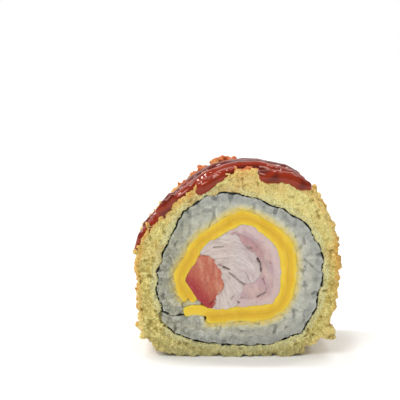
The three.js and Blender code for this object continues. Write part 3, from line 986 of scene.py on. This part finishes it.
def build_nori():
    """The wet sheet: its broad faces wave a little and its cut edges are ragged."""
    made = solid_of("nori")
    bmesh.ops.dissolve_limit(made, angle_limit=0.01, verts=made.verts, edges=made.edges)
    ringed(made, cuts=36)
    waved(pushed(made, lambda place, normal: waves(place, (0.6, 0.16)) - 0.03))
    for vert in made.verts:
        if abs(vert.co.y) > HALF - 0.3:
            ragged = noise.noise(Vector((vert.co.x * 0.9, vert.co.y, vert.co.z * 0.9))) * 0.6
            vert.co.y -= math.copysign(ragged + 0.25, vert.co.y)
    finished("nori", made, nori_finish(), ["nori"])


def is_within(tree, spot):
    """Whether a spot lies inside a closed surface, by the walls that a line from it meets."""
    hits = 0
    start = spot.copy()
    for _ in range(8):
        place = tree.ray_cast(start, Vector((1, 0, 0)))[0]
        if place is None:
            break
        hits += 1
        start = place + Vector((1e-3, 0, 0))
    return hits % 2 == 1


def grain_spots(tree, count, chance):
    """Spots for grains in the ring of rice, in two layers, each with its layer's number."""
    spots = []
    tries = 0
    while len(spots) < count and tries < MOST_TRIES:
        tries += 1
        spot = Vector((chance.uniform(*RICE_WIDTH), 0, chance.uniform(*RICE_HEIGHT)))
        if not is_within(tree, spot) or tree.find_nearest(spot)[3] < 0.3:
            continue
        layer = len(spots) % 2
        if all(other[1] != layer or (other[0] - spot).length >= GRAIN_GAP for other in spots):
            spots.append((spot, layer))
    return spots


def add_grains(made, settings):
    """Grains that lie at all angles in both cut faces of the rice."""
    chance = random.Random(19)
    tree = surface_of("rice")
    long, wide, thick = (part / MM / 2 for part in settings.grain)
    for side in (-1, 1):
        for spot, layer in grain_spots(tree, settings.grains, chance):
            depth = HALF - GRAIN_DEPTH - LAYER_STEP * layer + chance.uniform(-0.35, 0.35)
            place = Vector((spot.x, side * depth, spot.z))
            lean, roll = chance.uniform(-0.5, 0.5), chance.uniform(0, math.tau)
            turn = Euler((lean, roll, chance.uniform(-0.6, 0.6))).to_matrix()
            size = Vector((long, thick, wide)) * chance.uniform(0.85, 1.1)
            matrix = Matrix.LocRotScale(place, turn, size)
            bmesh.ops.create_uvsphere(made, u_segments=9, v_segments=6, radius=1, matrix=matrix)


def add_plugs(made):
    """Rice pressed into the gaps by the cheese's ends."""
    for x, z, half_width, half_height, turn in RICE_PLUGS:
        turned = Euler((math.pi / 2, 0, 0)).to_matrix() @ Euler((0, 0, turn)).to_matrix()
        matrix = Matrix.LocRotScale((x, 0, z), turned, (half_width, half_height, 1))
        bmesh.ops.create_cone(
            made, cap_ends=True, segments=16, radius1=1, radius2=1, depth=2 * HALF - 0.7,
            matrix=matrix,
        )


def build_rice(settings):
    """A ring of pressed grains round a core, cut flat at both ends and held in by the nori."""
    made = middle_section("rice", -HALF + 0.5, HALF - 0.5)
    add_grains(made, settings)
    made = thinned(remeshed(made, RICE_SKIN, 1), is_deep)
    for vert in made.verts:
        over = abs(vert.co.y) - (HALF - 0.1)
        if over > 0:
            vert.co.y -= math.copysign(over * 0.75, vert.co.y)
    pushed(made, lambda place, normal: waves(place, (0.5, 0.16), (1.5, 0.07)))
    made = kept_inside(made, middle_section("rice", -HALF - 3, HALF + 3, 0.24))
    drawn_to_nori(made, 0.8)
    nori, cheese = surface_of("nori"), surface_of("cheese_outer")
    for vert in made.verts:
        if abs(vert.co.y) < HALF - 1.9:
            continue
        for tree, reach, top, fall in ((nori, 1.4, 0.3, 0.4), (cheese, 1.6, 0.0, 0.35)):
            away = tree.find_nearest(vert.co, reach)[3]
            if away is not None:
                level = HALF - top - fall * away + waves(vert.co, (0.8, 0.2))
                vert.co.y = math.copysign(max(abs(vert.co.y), level), vert.co.y)
    waved(made)
    add_plugs(made)
    layers = {"smear": nearness(made, cheese, 0.1, 3.0), "edge": nearness(made, nori, 0.4, 4.0)}
    finished("rice", made, rice_finish(settings), ["rice"], (10, 0.35), layers)


def soft_slab(node, half, skin, growth, rise, smoothing=1):
    """A smooth slab that meets its neighbours, with relief on its cut faces."""
    made = remeshed(middle_section(node, -half, half, growth), skin, smoothing)
    return pushed(thinned(made, is_deep), rise)


def at_cut(place, normal):
    """1 on a cut face and 0 on the walls."""
    return eased(abs(normal.y), 0.5, 0.9) * eased(abs(place.y), 12.8, 13.5)


def cheese_rise(place, normal):
    edge = waves(place, (0.45, 0.24), (1.3, 0.16))
    face = waves(place, (0.25, 0.3), (0.9, 0.08))
    return edge + (face - edge) * at_cut(place, normal)


def slit_depth(place):
    """How deep the slits and gaps of the filling run at a place on its cut face."""
    deepest = 0
    for x1, z1, x2, z2, half_width, depth in SLITS:
        start = Vector((x1, z1))
        along = Vector((x2, z2)) - start
        spot = Vector((place.x, place.z)) - start
        share = min(max(spot.dot(along) / along.length_squared, 0), 1)
        away = (spot - along * share).length + waves(place, (1.1, 0.12))
        deepest = max(deepest, depth * (1 - eased(away, 0.1 * half_width, 1.3 * half_width)))
    return deepest


def filling_rise(relief):
    """The given relief and the slits, on the cut faces alone."""

    def rise(place, normal):
        cut = at_cut(place, normal)
        return (relief(place) - slit_depth(place)) * cut if cut else 0

    return rise


def slit_layer(made):
    """How deep a slit runs at each point of a piece of the filling."""
    return {"slit": [0 if is_deep(vert.co) else slit_depth(vert.co) for vert in made.verts]}


def ham_relief(place):
    folds = noise.noise(Vector((place.x * 0.5, place.z * 0.3, 4))) * 0.3
    return folds + waves(place, (0.35, 0.3), (1.3, 0.12))


def tomato_relief(place):
    away = Vector((place.x - TOMATO_HEART[0], 0, place.z - TOMATO_HEART[1]))
    turn = math.atan2(away.z, away.x)
    veins = noise.noise(Vector((turn * 3.5, away.length * 0.25, 2))) * 0.2
    return veins + waves(place, (0.35, 0.4), (1.5, 0.16))


def fibres(centre):
    """Relief of meat fibres that run in arcs about a centre."""

    def relief(place):
        away = math.hypot(place.x - centre[0], place.z - centre[1]) + waves(place, (0.22, 1.6))
        strength = 0.5 + noise.noise(place * 0.3 + Vector((5, 5, 5)))
        fine = math.sin(away / FIBRE * math.tau) * 0.1 * strength
        drift = waves(place, (0.5, 2))
        bundles = math.sin(away / FIBRE_BUNDLE * math.tau + drift) * 0.13 * strength
        return fine + bundles + waves(place, (0.3, 0.4), (1.7, 0.1))

    return relief


def build_cheese(settings):
    for node, other in (("cheese_outer", "cheese_inner"), ("cheese_inner", "cheese_outer")):
        made = soft_slab(node, HALF, CHEESE_SKIN, CHEESE_GROWTH, cheese_rise, 2)
        layers = {
            "seam": nearness(made, surface_of(other), 0.3, 1.8),
            "rim": nearness(made, surface_of("rice"), 0.1, 1.5),
        }
        finished(node, made, cheese_finish(settings), [node], (12, 0.25), layers)


def build_ham(settings):
    for node in ("ham_outer", "ham_inner"):
        made = soft_slab(node, HALF - 0.15, HAM_SKIN, HAM_GROWTH, filling_rise(ham_relief))
        finish = ham_finish(settings, folded=node == "ham_inner")
        layers = slit_layer(made)
        layers["rim"] = nearness(made, surface_of("cheese_inner"), 1.0, 3.6)
        finished(node, made, finish, [node], (10, 0.3), layers)


def build_chicken(settings):
    for node, centre in CHICKEN_CENTRES.items():
        rise = filling_rise(fibres(centre))
        made = soft_slab(node, HALF - 0.1, FILLING_SKIN, CHICKEN_GROWTH, rise)
        finish = chicken_finish(settings, centre)
        finished(node, made, finish, [node], (10, 0.25), slit_layer(made))


def build_tomato(settings):
    rise = filling_rise(tomato_relief)
    made = soft_slab("tomato", HALF - 0.05, FILLING_SKIN, TOMATO_GROWTH, rise)
    finished("tomato", made, tomato_finish(settings), ["tomato"], (10, 0.3))


# Stage


def add_light(name, source, strength, spread):
    """A far soft light from a direction, with its spread in degrees."""
    data = bpy.data.lights.new(name, "SUN")
    data.energy = strength
    data.angle = math.radians(spread)
    lamp = placed(name, data)
    lamp.rotation_euler = Vector(source).to_track_quat("Z", "Y").to_euler()


def add_surround(strength):
    """A white surround that lights with the given strength and shows as pure white."""
    world = bpy.data.worlds.new("white surround")
    world.use_nodes = True
    tree = world.node_tree
    lit = tree.nodes["Background"]
    shown = tree.nodes.new("ShaderNodeBackground")
    for background, brightness in ((lit, strength), (shown, 1)):
        background.inputs["Color"].default_value = (1, 1, 1, 1)
        background.inputs["Strength"].default_value = brightness
    seen = tree.nodes.new("ShaderNodeLightPath").outputs["Is Camera Ray"]
    choice = tree.nodes.new("ShaderNodeMixShader")
    for source, socket in zip((seen, lit.outputs[0], shown.outputs[0]), choice.inputs):
        tree.links.new(source, socket)
    tree.links.new(choice.outputs[0], tree.nodes["World Output"].inputs["Surface"])
    bpy.context.scene.world = world


def build_stage(settings):
    """The floor, a soft key light, lights that gleam and spark on the sauce, and the camera."""
    made = bmesh.new()
    bmesh.ops.create_grid(made, x_segments=4, y_segments=4, size=settings.floor_size / 2)
    mesh = mesh_of(made, "floor")
    mesh.materials.append(floor_finish(settings))
    floor = placed("floor", mesh)

    add_light("key", KEY_SOURCE, settings.key, spread=30)
    for across, back in map(bearing, GLEAM_TURNS):
        add_light("gleam", (across, back, GLEAM_RISE), settings.gleam, spread=36)
    for across, up in map(bearing, SPARK_TURNS):
        add_light("spark", (across, SPARK_BACK, up), settings.spark, spread=8)
    add_surround(settings.surround)

    lens = bpy.data.cameras.new("camera")
    lens.lens = lens.sensor_width * FOCAL_LENGTH / PHOTO_WIDTH
    lens.clip_start = 0.01
    camera = placed("camera", lens)
    camera.location = (CAMERA_PLACE + SHIFT) * MM
    camera.rotation_euler = (math.radians(90 - CAMERA_TILT), 0, 0)
    bpy.context.scene.camera = camera
    bpy.context.scene.view_settings.view_transform = "Standard"


# Settings, operators and panel


def colour_setting(name, description, default):
    return FloatVectorProperty(
        name=name, description=description, default=srgb(*default), subtype="COLOR", min=0, max=1
    )


def light_setting(name, description, default):
    return FloatProperty(name=name, description=description, default=default, min=0)


class CrustSettings(bpy.types.PropertyGroup):
    """Sizes and colours of the fried crust."""

    crumbs: IntProperty(
        name="Crumbs", description="How many crumbs stand on the crust", default=1500, min=0
    )
    soaked: IntProperty(
        name="Soaked crumbs", description="Raised crumbs behind the front stripe of sauce",
        default=70, min=0,
    )
    crumb_size: FloatProperty(
        name="Crumb size", description="Radius of the largest crumbs", default=1.3 * MM,
        min=0, subtype="DISTANCE", unit="LENGTH", precision=5,
    )
    crumb: colour_setting("Crumb", "Soft crumb at the cut faces", (226, 210, 124))
    crumb_deep: colour_setting("Deep crumb", "Darker patches of the cut crumb", (194, 170, 84))
    # Light crumb colour: random light grain, and the painted highlight on the raised crumbs, the
    # upper crumb and the upper left shoulder.
    crumb_grain_and_highlight: colour_setting("Light crumb", "Raised bits of the cut crumb", (252, 240, 164))
    pale: colour_setting("Pale", "Steamed crumb next to the nori", (218, 214, 160))
    # Olive: real specks, and the painted shade towards the underside and along the foot.
    olive_and_foot_shade: colour_setting("Olive", "Crumb near the underside and in small pits", (178, 173, 122))
    # Pit tint: random dark grain, and the painted shade in the pits.
    pit: colour_setting("Pit", "Tint that darkens the pits", (168, 147, 80))
    fried: colour_setting("Fried", "Pale fried outside", (232, 204, 116))
    golden: colour_setting("Golden", "Golden patches of the outside", (226, 176, 82))
    toasted: colour_setting("Toasted", "Orange tips of the crumbs", (218, 152, 68))
    stain: colour_setting("Stain", "Crumb that the sauce has soaked", (216, 104, 52))


class SauceSettings(bpy.types.PropertyGroup):
    """Size and colours of the drizzled sauce."""

    width: FloatProperty(
        name="Width", description="Width of the stripes, as a share of their drawn width",
        default=1.0, min=0.5, max=1.5, subtype="FACTOR",
    )
    deep: colour_setting("Deep", "Where the sauce is thick", (92, 18, 2))
    thin: colour_setting("Thin", "Where the sauce thins out over the crumb", (138, 36, 4))


class RiceSettings(bpy.types.PropertyGroup):
    """Sizes and colours of the rice."""

    grains: IntProperty(
        name="Grains", description="How many grains lie at each cut face", default=230, min=1
    )
    grain: FloatVectorProperty(
        name="Grain", description="Length, width and thickness of a cooked grain",
        default=(6.2 * MM, 2.8 * MM, 2.4 * MM), subtype="XYZ", unit="LENGTH", precision=5,
    )
    # White: whiter grains, and the painted highlight on the raised grains.
    white: colour_setting("White", "Whiter grains", (208, 207, 190))
    grey: colour_setting("Grey", "Translucent grains", (150, 151, 140))
    # Pearl: colour of the painted highlights on the wet grains.
    pearl: colour_setting("Pearl", "Wet blue-white grains", (206, 212, 216))
    cool: colour_setting("Cool", "Tint of the rice next to the nori", (216, 220, 229))
    warm: colour_setting("Warm", "Rice that the cheese has tinted", (206, 196, 140))
    yellow: colour_setting("Yellow", "Rice with cheese smeared over it", (222, 192, 84))
    # Crevice: tint of the painted shade between the grains.
    crevice: colour_setting("Crevice", "Tint between the grains", (150, 152, 138))


class CheeseSettings(bpy.types.PropertyGroup):
    """Colours of the two cheese slices."""

    yellow: colour_setting("Yellow", "Body of the cheese", (221, 179, 10))
    # Pale: knife marks, and the painted highlight on raised bits and edges.
    pale: colour_setting("Pale", "Edges and knife marks", (233, 201, 58))
    deep: colour_setting("Deep", "Where the two slices meet", (217, 160, 10))
    milky: colour_setting("Milky", "Where rice clings to the edge", (222, 202, 124))


class HamSettings(bpy.types.PropertyGroup):
    """Colours of the folded ham."""

    pink: colour_setting("Pink", "Body of the ham", (192, 159, 155))
    pale: colour_setting("Pale", "Paler grain", (203, 177, 171))
    lilac: colour_setting("Lilac", "Lilac patches", (186, 157, 166))
    rim: colour_setting("Rim", "Pale ham next to the cheese", (210, 189, 185))
    deep: colour_setting("Deep", "Ham folded over the chicken", (176, 130, 130))
    # Fold: tint of the painted shade in the folds.
    fold: colour_setting("Fold", "Tint in folds and slits", (150, 90, 84))


class ChickenSettings(bpy.types.PropertyGroup):
    """Colours of the chicken."""

    white: colour_setting("White", "Body of the meat", (200, 187, 184))
    pink: colour_setting("Pink", "Pinkish patches", (192, 174, 172))
    cream: colour_setting("Cream", "Creamier meat at the lower left", (208, 194, 176))
    bright: colour_setting("Bright", "Whiter fibres", (218, 207, 202))
    # Fibre: tint of the gaps between the fibres and of the painted shade in low spots.
    fibre: colour_setting("Fibre", "Tint between the fibres", (190, 166, 164))


class TomatoSettings(bpy.types.PropertyGroup):
    """Colours of the tomato."""

    flesh: colour_setting("Flesh", "Orange-red flesh", (189, 105, 80))
    vein: colour_setting("Vein", "Pale veins", (201, 138, 110))
    # Red: redder flesh under the skin, and the painted shade in low spots.
    red: colour_setting("Red", "Redder flesh under the skin", (173, 59, 47))
    skin: colour_setting("Skin", "Crimson skin", (164, 42, 46))


class StageSettings(bpy.types.PropertyGroup):
    """Floor and light."""

    floor: colour_setting("Floor", "The plain floor", (246, 246, 246))
    floor_size: FloatProperty(
        name="Floor size", description="Edge of the square floor", default=6, min=1, unit="LENGTH"
    )
    key: light_setting("Key", "Strength of the soft light from the upper left", 1.37)
    gleam: light_setting("Gleam", "Strength of each soft light behind", 0.14)
    spark: light_setting("Spark", "Strength of each small light above, a line on the sauce", 0.48)
    surround: light_setting("Surround", "Strength of the white surround's light", 0.465)


class ROLL_OT_crust(bpy.types.Operator):
    """Make the fried crust"""

    bl_idname = "roll.crust"
    bl_label = "Crust"

    def execute(self, context):
        build_crust(context.scene.roll_crust)
        return {"FINISHED"}


class ROLL_OT_sauce(bpy.types.Operator):
    """Drizzle the sauce over the crust"""

    bl_idname = "roll.sauce"
    bl_label = "Sauce"

    def execute(self, context):
        build_sauce(context.scene.roll_sauce)
        return {"FINISHED"}


class ROLL_OT_nori(bpy.types.Operator):
    """Make the sheet of nori"""

    bl_idname = "roll.nori"
    bl_label = "Nori"

    def execute(self, context):
        build_nori()
        return {"FINISHED"}


class ROLL_OT_rice(bpy.types.Operator):
    """Make the ring of rice"""

    bl_idname = "roll.rice"
    bl_label = "Rice"

    def execute(self, context):
        build_rice(context.scene.roll_rice)
        return {"FINISHED"}


class ROLL_OT_cheese(bpy.types.Operator):
    """Make the two cheese slices"""

    bl_idname = "roll.cheese"
    bl_label = "Cheese"

    def execute(self, context):
        build_cheese(context.scene.roll_cheese)
        return {"FINISHED"}


class ROLL_OT_ham(bpy.types.Operator):
    """Make the folded ham"""

    bl_idname = "roll.ham"
    bl_label = "Ham"

    def execute(self, context):
        build_ham(context.scene.roll_ham)
        return {"FINISHED"}


class ROLL_OT_chicken(bpy.types.Operator):
    """Make the two strips of chicken"""

    bl_idname = "roll.chicken"
    bl_label = "Chicken"

    def execute(self, context):
        build_chicken(context.scene.roll_chicken)
        return {"FINISHED"}


class ROLL_OT_tomato(bpy.types.Operator):
    """Make the wedge of tomato"""

    bl_idname = "roll.tomato"
    bl_label = "Tomato"

    def execute(self, context):
        build_tomato(context.scene.roll_tomato)
        return {"FINISHED"}


class ROLL_OT_stage(bpy.types.Operator):
    """Make the floor, the lights and the camera"""

    bl_idname = "roll.stage"
    bl_label = "Stage"

    def execute(self, context):
        build_stage(context.scene.roll_stage)
        return {"FINISHED"}


SETTINGS = {
    "roll_crust": CrustSettings,
    "roll_sauce": SauceSettings,
    "roll_rice": RiceSettings,
    "roll_cheese": CheeseSettings,
    "roll_ham": HamSettings,
    "roll_chicken": ChickenSettings,
    "roll_tomato": TomatoSettings,
    "roll_stage": StageSettings,
}
OPERATORS = [
    ROLL_OT_stage, ROLL_OT_crust, ROLL_OT_sauce, ROLL_OT_nori, ROLL_OT_rice, ROLL_OT_cheese,
    ROLL_OT_ham, ROLL_OT_chicken, ROLL_OT_tomato,
]


class ROLL_PT_slice(bpy.types.Panel):
    """The slice's pieces and settings"""

    bl_idname = "ROLL_PT_slice"
    bl_label = "Fried sushi roll slice"
    bl_space_type = "VIEW_3D"
    bl_region_type = "UI"
    bl_category = "Sushi"

    def draw(self, context):
        for operator in OPERATORS:
            self.layout.operator(operator.bl_idname)
            name = operator.bl_idname.replace(".", "_")
            settings = getattr(context.scene, name, None)
            for key in getattr(type(settings), "__annotations__", {}):
                self.layout.prop(settings, key)


def register():
    for group in SETTINGS.values():
        bpy.utils.register_class(group)
    for name, group in SETTINGS.items():
        setattr(bpy.types.Scene, name, PointerProperty(type=group))
    for part in [*OPERATORS, ROLL_PT_slice]:
        bpy.utils.register_class(part)


def unregister():
    for part in [ROLL_PT_slice, *reversed(OPERATORS)]:
        bpy.utils.unregister_class(part)
    for name, group in SETTINGS.items():
        delattr(bpy.types.Scene, name)
        bpy.utils.unregister_class(group)


def main():
    register()
    bpy.ops.roll.stage()
    bpy.ops.roll.crust()
    bpy.ops.roll.sauce()
    bpy.ops.roll.nori()
    bpy.ops.roll.rice()
    bpy.ops.roll.cheese()
    bpy.ops.roll.ham()
    bpy.ops.roll.chicken()
    bpy.ops.roll.tomato()


if __name__ == "__main__":
    main()
